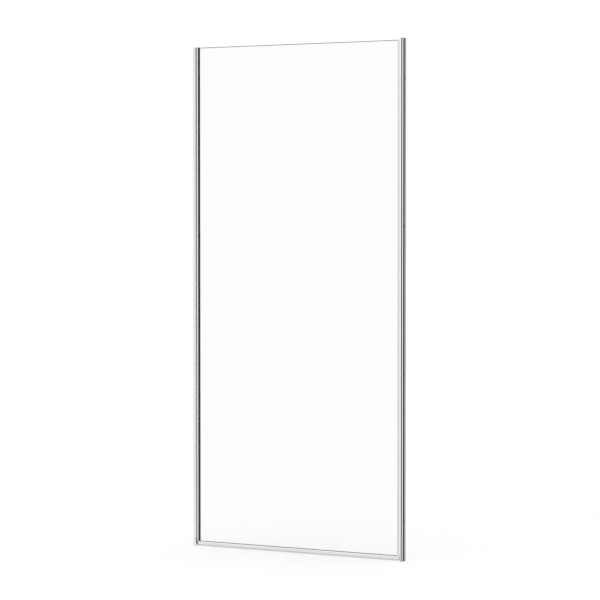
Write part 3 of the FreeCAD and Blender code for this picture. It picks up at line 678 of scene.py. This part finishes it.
# %% [markdown]
# The hinge stile is the most skilled piece: one extrusion with the round barrel, a neck and the channel that
# grips the glass. A union of a tube and some boxes would leave rough seams, so the section is one outline:
# the barrel's arc is spun from the point where the neck leaves it, and the channel's corners follow. The bore
# and the hollow of the neck are inner outlines.

# %% Section of the hinge stile
ARC_STEPS = 40
BARREL_WALL = 1.8
NECK_HALF, NECK_WALL = 4.0, 1.6
LAND, NOSE, NOSE_WALL, WEB = 5.3, 2.8, 1.4, 1.6
POCKET_HALF = 4.8
EDGE_ROUND = 0.8

stile_low, stile_high = ends("leaf_stile")
axis_x = frame["record"]["behaviour"]["joints"][0]["pos_m"][0] / MM
barrel_r = axis_x - stile_low.x
nose_x = stile_high.x
land_x = nose_x - NOSE
channel_x = land_x - LAND
pocket_x = channel_x + WEB
channel_y = stile_high.y
nose_y = POCKET_HALF + NOSE_WALL

bm = bmesh.new()
opening = asin(NECK_HALF / barrel_r)
start = bm.verts.new((axis_x + barrel_r * cos(opening), barrel_r * sin(opening), 0))
bmesh.ops.spin(bm, geom=[start], cent=(axis_x, 0, 0), axis=(0, 0, 1), angle=2 * (pi - opening),
               steps=ARC_STEPS)
draw(bm, mirrored([
    (channel_x, -NECK_HALF), (channel_x, -channel_y, EDGE_ROUND), (land_x, -channel_y, EDGE_ROUND),
    (land_x, -nose_y), (nose_x, -nose_y), (nose_x, -POCKET_HALF), (pocket_x, -POCKET_HALF),
]), arc=bm.verts[:])
bore = Matrix.Translation((axis_x, 0, 0))
bmesh.ops.create_circle(bm, segments=ARC_STEPS, radius=barrel_r - BARREL_WALL, matrix=bore)
hollow = NECK_HALF - NECK_WALL
draw(bm, rectangle(axis_x + barrel_r, channel_x, -hollow, hollow))
open_hollows(bm)
print("barrel of", round(2 * barrel_r, 1), "mm, channel", round(2 * channel_y, 1), "mm deep")

# %% [markdown]
# Both ends of the stile are notched for the pivots: the barrel is shorter than the channel. The notches could
# be cut away from a full length, but adding leaves cleaner faces. So the section is split beside the barrel,
# and only the channel's part is extruded on to the full height.

# %% Length of the hinge stile
NOTCH_GAP = 0.6
BUSH_FLANGE = 1.0

barrel_low = ends("bottom_pivot_bush")[0].z + BUSH_FLANGE
barrel_high = ends("top_pivot_bush")[1].z - BUSH_FLANGE
notch_x = axis_x + barrel_r + NOTCH_GAP
cut = bm.verts[:] + bm.edges[:] + bm.faces[:]
bmesh.ops.bisect_plane(bm, geom=cut, plane_co=(notch_x, 0, 0), plane_no=(1, 0, 0))
bmesh.ops.translate(bm, vec=(0, 0, barrel_low), verts=bm.verts)
lower_end = bm.faces[:]
upper_end = extrude(bm, lower_end, barrel_high - barrel_low)
for faces, length in ((lower_end, stile_low.z - barrel_low), (upper_end, stile_high.z - barrel_high)):
    lengthen(bm, [face for face in faces if face.calc_center_median().x > notch_x], length)
stand_in("leaf_stile", bm)

# %% [markdown]
# Two black gaskets clip over the channel's noses and press on the glass. They are what the photo shows as
# the dark line beside the hinge. Each is a hook in section, with a rounded shoulder. The back one mirrors
# the front one, so a loop draws both from the same corners.

# %% Gaskets of the stile
GLASS_HALF = 3.0
GASKET_ROUND, LIP_ROUND, SHOULDER_ROUND = 0.4, 0.3, 0.2

for node, side in (("stile_gasket_front", -1), ("stile_gasket_back", 1)):
    low, high = ends(node)
    outer_y = max(abs(low.y), abs(high.y))
    profile(node, low.z, high.z, [[
        (low.x, GLASS_HALF * side, GASKET_ROUND), (high.x, GLASS_HALF * side, LIP_ROUND),
        (high.x, outer_y * side, GASKET_ROUND), (land_x, outer_y * side, SHOULDER_ROUND),
        (land_x, nose_y * side), (nose_x, nose_y * side), (nose_x, POCKET_HALF * side),
        (low.x, POCKET_HALF * side, GASKET_ROUND),
    ]])

# %% [markdown]
# The closing edge carries a push-on seal: two soft legs hold it on the glass, and the tube in front of them
# holds a magnet. Its walls differ in thickness, so a sheet made solid wouldn't do: one half of the section
# is drawn and mirrored. The tube's hollow follows the magnet's box, with a little room.

# %% Closing seal
TUBE_CLEAR = 0.1
LEG_TIP_ROUND, LEG_ROUND, TUBE_ROUND, CORE_ROUND = 0.3, 0.5, 1.0, 0.3

seal_low, seal_high = ends("edge_magnet_seal")
magnet_low, magnet_high = ends("edge_magnet")
glass_low, glass_high = ends("glass_panel")
profile("edge_magnet_seal", seal_low.z, seal_high.z, [
    mirrored([
        (glass_high.x, GLASS_HALF), (seal_low.x, GLASS_HALF, LEG_TIP_ROUND),
        (seal_low.x, seal_high.y, LEG_ROUND), (seal_high.x, seal_high.y, TUBE_ROUND),
    ]),
    rectangle(magnet_low.x - TUBE_CLEAR, magnet_high.x + TUBE_CLEAR,
              magnet_low.y - TUBE_CLEAR, magnet_high.y + TUBE_CLEAR, CORE_ROUND),
])

# %% [markdown]
# Behind the hinge, a hollow bead on the wall profile's leg closes the gap when the door is shut. Its stem
# goes into a slot of the leg, and its thin wall gives way to the stile. Bead and stem are one moulding, so
# they are one outline, and the hollow is another.

# %% Rebate bead
BEAD_WALL, STEM_HALF = 0.6, 0.6
BEAD_ROUND, BEAD_FOOT_ROUND, HOLLOW_ROUND = 1.1, 0.6, 0.5

bead_low, bead_high = ends("rebate_seal")
leg_y = ends("hinge_wall_profile")[0].y
middle = (bead_low.x + bead_high.x) / 2
profile("rebate_seal", bead_low.z, bead_high.z, [
    [(bead_low.x, bead_low.y, BEAD_ROUND), (bead_high.x, bead_low.y, BEAD_ROUND),
     (bead_high.x, leg_y, BEAD_FOOT_ROUND), (middle + STEM_HALF, leg_y),
     (middle + STEM_HALF, bead_high.y), (middle - STEM_HALF, bead_high.y),
     (middle - STEM_HALF, leg_y), (bead_low.x, leg_y, BEAD_FOOT_ROUND)],
    rectangle(bead_low.x + BEAD_WALL, bead_high.x - BEAD_WALL,
              bead_low.y + BEAD_WALL, leg_y - BEAD_WALL, HOLLOW_ROUND),
])

# %% [markdown]
# The bottom rail is drawn like the uprights but lies level, so its section is written in Y and Z and runs
# along X. A pocket on top takes the pane with its dark strip, and a hooked slot below takes the drip seal.
# Small rounds on the outer corners catch the light. The outline is kept in three parts, because the caps at
# the rail's ends use them again.

# %% The bottom rail
STEP_Z = RAIL_STEP / MM
RAIL_HALF = 6.2
RAIL_POCKET, RAIL_FLOOR = 4.9, 12.0
MOUTH, HOOK_Z = 3.4, 8.0
SLOT, SLOT_TOP = 5.4, 10.4
RAIL_LIP_ROUND, STEP_ROUND, RAIL_ROUND = 0.4, 0.3, 0.5

rail_low, rail_high = ends("bottom_rail")
pocket_half = [(RAIL_POCKET, RAIL_FLOOR), (RAIL_POCKET, rail_high.z)]
outside_half = [
    (RAIL_HALF, rail_high.z, RAIL_LIP_ROUND), (RAIL_HALF, STEP_Z, STEP_ROUND),
    (rail_high.y, STEP_Z, RAIL_ROUND), (rail_high.y, rail_low.z, RAIL_ROUND),
]
slot_half = [(MOUTH, rail_low.z), (MOUTH, HOOK_Z), (SLOT, HOOK_Z), (SLOT, SLOT_TOP)]
rail_half = [*pocket_half, *outside_half, *slot_half]
profile("bottom_rail", rail_low.x, rail_high.x, [mirrored_level(rail_half)], LEVEL)

# %% [markdown]
# The dark strip lines the rail's pocket and laps over its lips, so that glass never touches metal. The drip
# seal hooks into the slot below, and its two lips, thinner towards their tips, stop just above the floor.
# Both are drawn like the rail, and take from it the heights at which they touch it.

# %% Seals of the rail
GLAZING_TIP_ROUND, GLAZING_ROUND = 0.2, 0.6
DRIP_HEAD, DRIP_NECK = 5.25, 3.25
DRIP_HOOK_Z, DRIP_ROOT_Z = 8.15, 5.0
DRIP_HEAD_ROUND, DRIP_HOOK_ROUND, DRIP_SIDE_ROUND = 0.4, 0.2, 0.3
LIP_ROOT, LIP_TIP = 1.4, 1.0
LIP_TIP_ROUND, LIP_ROOT_ROUND = 0.4, 0.8

strip_low, strip_high = ends("rail_glazing_strip")
profile("rail_glazing_strip", strip_low.x, strip_high.x, [mirrored_level([
    (GLASS_HALF, glass_low.z), (GLASS_HALF, strip_high.z, GLAZING_TIP_ROUND),
    (strip_high.y, strip_high.z, GLAZING_ROUND), (strip_high.y, rail_high.z),
    (RAIL_POCKET, rail_high.z), (RAIL_POCKET, strip_low.z),
])], LEVEL)

drip_low, drip_high = ends("drip_seal")
profile("drip_seal", drip_low.x, drip_high.x, [mirrored_level([
    (DRIP_HEAD, drip_high.z, DRIP_HEAD_ROUND), (DRIP_HEAD, DRIP_HOOK_Z, DRIP_HOOK_ROUND),
    (DRIP_NECK, DRIP_HOOK_Z), (DRIP_NECK, rail_low.z), (drip_high.y, rail_low.z, DRIP_SIDE_ROUND),
    (drip_high.y, drip_low.z, LIP_TIP_ROUND), (drip_high.y - LIP_TIP, drip_low.z, LIP_TIP_ROUND),
    (drip_high.y - LIP_ROOT, DRIP_ROOT_Z, LIP_ROOT_ROUND),
])], LEVEL)

# %% [markdown]
# Both ends of the rail are closed. At the strike a plain cap covers the section. At the hinge a soft black
# end has a plate as well, and a short sleeve with the rail's own section, which runs round the corner of the
# pane. The plate is the section's face together with two faces that close its pocket and its slot, and only
# the section's face is extruded further.

# %% Ends of the rail
RIM = 0.35
END_PLATE = 1.5

cap_low, cap_high = ends("rail_cap_strike_side")
bm = bmesh.new()
draw(bm, mirrored_level(outside_half))
bmesh.ops.translate(bm, vec=(0, 0, cap_low.x), verts=bm.verts)
soften(bm, extrude(bm, bm.faces[:], cap_high.x - cap_low.x), RIM)
stand_in("rail_cap_strike_side", bm, LEVEL)

cap_low, cap_high = ends("rail_cap_hinge_side")
bm = bmesh.new()
corners = draw(bm, mirrored_level(rail_half))
sleeve = bm.faces[:]
in_pocket = len(pocket_half)
before_slot = in_pocket + len(outside_half)
bm.faces.new([*corners[:in_pocket], *corners[-in_pocket:]])
bm.faces.new(corners[before_slot:-before_slot])
bmesh.ops.recalc_face_normals(bm, faces=bm.faces)
bmesh.ops.translate(bm, vec=(0, 0, cap_low.x + END_PLATE), verts=bm.verts)
plate = bmesh.ops.dissolve_faces(bm, faces=extrude(bm, bm.faces[:], -END_PLATE))["region"]
soften(bm, plate, RIM)
lengthen(bm, sleeve, cap_high.x - cap_low.x - END_PLATE)
stand_in("rail_cap_hinge_side", bm, LEVEL)

# %% [markdown]
# The strike's magnet sits in a plastic strip that clips into the head. Two shoulders behind the head's lips
# hold the strip, and its hollow follows the magnet's box. It is drawn in the way of the closing seal, which
# its magnet pulls shut.

# %% Magnet strip of the strike
STRIP_HALF, STRIP_NECK, STRIP_LIP = 5.0, 3.2, 1.6
CLIP_ROUND, FRONT_ROUND = 0.3, 0.4

head_low, head_high = ends("strike_profile")
clip_low, clip_high = ends("strike_magnet_strip")
core_low, core_high = ends("strike_magnet")
lip_x = head_low.x + STRIP_LIP
profile("strike_magnet_strip", clip_low.z, clip_high.z, [
    mirrored([
        (clip_high.x, STRIP_HALF, CLIP_ROUND), (lip_x, STRIP_HALF, CLIP_ROUND), (lip_x, STRIP_NECK),
        (head_low.x, STRIP_NECK), (head_low.x, clip_high.y), (clip_low.x, clip_high.y, FRONT_ROUND),
    ]),
    rectangle(core_low.x, core_high.x, core_low.y, core_high.y),
])

# %% [markdown]
# Moulded caps close the strike's ends: a plate with rounded corners and a softened rim, and two spigots that
# go into the chambers of the head. Boxes set on the plate would leave faces inside it. So the spigots start
# as holes in the plate's face, are filled again as faces of their own, and are extruded, which keeps each cap
# one closed mesh.

# %% Caps of the strike
HEAD_DEPTH, CHAMBER_INNER, CHAMBER_WALL, SPIGOT_CLEAR = 5.5, 6.8, 1.6, 0.05
SPIGOT_SIDES = 4
CAP_PLATE, CAP_ROUND = 2.0, 1.0

spigot_x = [head_low.x + CHAMBER_WALL + SPIGOT_CLEAR, head_low.x + HEAD_DEPTH - CHAMBER_WALL - SPIGOT_CLEAR]
spigot_y = [CHAMBER_INNER + SPIGOT_CLEAR, head_high.y - CHAMBER_WALL - SPIGOT_CLEAR]
for node, up in (("strike_top_cap", 1), ("strike_bottom_cap", -1)):
    low, high = ends(node)
    bm = bmesh.new()
    draw(bm, rectangle(low.x, high.x, low.y, high.y, CAP_ROUND))
    for side in (-1, 1):
        draw(bm, rectangle(*spigot_x, *(y * side for y in spigot_y)))
    open_hollows(bm)
    spigots = bmesh.ops.holes_fill(bm, edges=bm.edges, sides=SPIGOT_SIDES)["faces"]
    inner_z = high.z - CAP_PLATE if up > 0 else low.z + CAP_PLATE
    bmesh.ops.translate(bm, vec=(0, 0, inner_z), verts=bm.verts)
    plate = bmesh.ops.dissolve_faces(bm, faces=extrude(bm, bm.faces[:], CAP_PLATE * up))["region"]
    soften(bm, plate, RIM)
    lengthen(bm, spigots, (high.z - low.z - CAP_PLATE) * -up)
    stand_in(node, bm)

# %% [markdown]
# The foot under the barrel is turned, with a large round at the floor and a bore that takes the knuckle's
# spigot. A cylinder could be bevelled and bored, but one outline, as radius and height, holds all of that,
# and is spun once round the barrel's axis. The edge that lies on the axis is taken away first, because it
# would spin to nothing.

# %% The foot's cap
FOOT_ROUND, FOOT_BORE, BORE_Z = 3.9, 5.05, 8.95
SPIN_STEPS = 48
MERGE = 0.001

foot_high = ends("foot_cap")[1]
bm = bmesh.new()
outline = draw(bm, [
    (0, 0), (barrel_r, 0, FOOT_ROUND), (barrel_r, foot_high.z, RIM), (FOOT_BORE, foot_high.z),
    (FOOT_BORE, BORE_Z), (0, BORE_Z),
])
bmesh.ops.delete(bm, geom=bm.faces[:], context="FACES_ONLY")
bmesh.ops.delete(bm, geom=[bm.edges.get((outline[0], outline[-1]))], context="EDGES")
bmesh.ops.rotate(bm, cent=(0, 0, 0), matrix=Matrix.Rotation(pi / 2, 3, "X"), verts=bm.verts)
bmesh.ops.translate(bm, vec=(axis_x, 0, 0), verts=bm.verts)
bmesh.ops.spin(bm, geom=bm.edges[:], cent=(axis_x, 0, 0), axis=(0, 0, 1), angle=2 * pi, steps=SPIN_STEPS,
               use_merge=True)
bmesh.ops.remove_doubles(bm, verts=bm.verts, dist=MERGE)
stand_in("foot_cap", bm)

# %% [markdown]
# The screws have domed heads with a cross recess, which a spin alone can't give. So the head's top is a
# disc with a cross left open in it. The cross is filled again and pushed in, and the disc's rim is extruded
# station by station, each scaled to its radius: down the dome and the head's side, in to the shank, and along
# it.

# %% A screw
SCREW_STEPS = 24
ARMS, ARM_REACH, ARM_HALF, RECESS_DEPTH = 4, 0.8, 0.25, 0.45
DOME_STATION = 0.3


def cross_screw(head_r, head, dome, shank_r, length):
    """The mesh of a screw along Z, with the top of its head at 0."""
    radius, z = head_r - dome, 0
    arm, half = ARM_REACH * radius, ARM_HALF * radius
    bm = bmesh.new()
    bmesh.ops.create_circle(bm, segments=SCREW_STEPS, radius=radius)
    quarter = [Vector((arm, -half)), Vector((arm, half)), Vector((half, half))]
    turns = [Matrix.Rotation(2 * pi * arm_number / ARMS, 2) for arm_number in range(ARMS)]
    draw(bm, [turn @ corner for turn in turns for corner in quarter])
    open_hollows(bm)
    recess = bmesh.ops.holes_fill(bm, edges=bm.edges, sides=ARMS * len(quarter))["faces"]
    lengthen(bm, recess, -RECESS_DEPTH * head)
    rim = [edge for edge in bm.edges if edge.is_boundary]
    for next_radius, next_z in (
        (head_r - DOME_STATION * dome, -DOME_STATION * dome), (head_r, -dome), (head_r, -head),
        (shank_r, -head), (shank_r, -length),
    ):
        made = bmesh.ops.extrude_edge_only(bm, edges=rim)["geom"]
        verts = [part for part in made if isinstance(part, bmesh.types.BMVert)]
        grow = next_radius / radius
        bmesh.ops.scale(bm, vec=(grow, grow, 1), verts=verts)
        bmesh.ops.translate(bm, vec=(0, 0, next_z - z), verts=verts)
        rim = [part for part in made if isinstance(part, bmesh.types.BMEdge) and part.is_boundary]
        radius, z = next_radius, next_z
    bmesh.ops.holes_fill(bm, edges=rim)
    mesh = bpy.data.meshes.new("screw")
    bm.to_mesh(mesh)
    bm.free()
    return mesh


def place(bm, mesh, matrix):
    """Add a mesh to another at a place."""
    count = len(bm.verts)
    bm.from_mesh(mesh)
    bm.verts.ensure_lookup_table()
    bmesh.ops.transform(bm, matrix=matrix, verts=bm.verts[count:])


print("a screw's head has", SCREW_STEPS, "sides")

# %% [markdown]
# Three small screws lock the strike in its wall profile from the shower side, near both ends and at half
# height. Two longer ones hold the top plate and the foot on the hinge profile, and cut their thread into its
# round port. Screws of one kind are one piece.

# %% Screws of the door
LOCK_HEAD, LOCK_DOME, LOCK_SHANK, LOCK_END = 1.6, 0.8, 1.3, 200.0
PORT_HEAD, PORT_DOME, PORT_SHANK, PORT_BITE = 1.7, 0.4, 1.68, 18.0

screw_low, screw_high = ends("strike_lock_screws")
lock_r = (screw_high.x - screw_low.x) / 2
lock_screw = cross_screw(lock_r, LOCK_HEAD, LOCK_DOME, LOCK_SHANK, screw_high.y - screw_low.y)
strike_top = ends("strike_top_cap")[1].z
bm = bmesh.new()
for z in (LOCK_END, strike_top / 2, strike_top - LOCK_END):
    spot = Matrix.Translation((screw_low.x + lock_r, screw_high.y, z))
    place(bm, lock_screw, spot @ Matrix.Rotation(-pi / 2, 4, "X"))
stand_in("strike_lock_screws", bm)

port_low, port_high = ends("port_screws")
port_r = (port_high.x - port_low.x) / 2
port_x, port_y = port_low.x + port_r, port_low.y + port_r
plate_low = ends("top_pivot_plate")[0].z
foot_top = ends("pivot_foot")[1].z
bm = bmesh.new()
upper = cross_screw(port_r, PORT_HEAD, PORT_DOME, PORT_SHANK, port_high.z - plate_low + PORT_BITE)
place(bm, upper, Matrix.Translation((port_x, port_y, port_high.z)))
lower = cross_screw(port_r, PORT_HEAD, PORT_DOME, PORT_SHANK, foot_top - port_low.z + PORT_BITE)
place(bm, lower, Matrix.Translation((port_x, port_y, port_low.z)) @ Matrix.Rotation(pi, 4, "X"))
stand_in("port_screws", bm)

# %% [markdown]
# The finished pieces have to stay in the box of the solids.
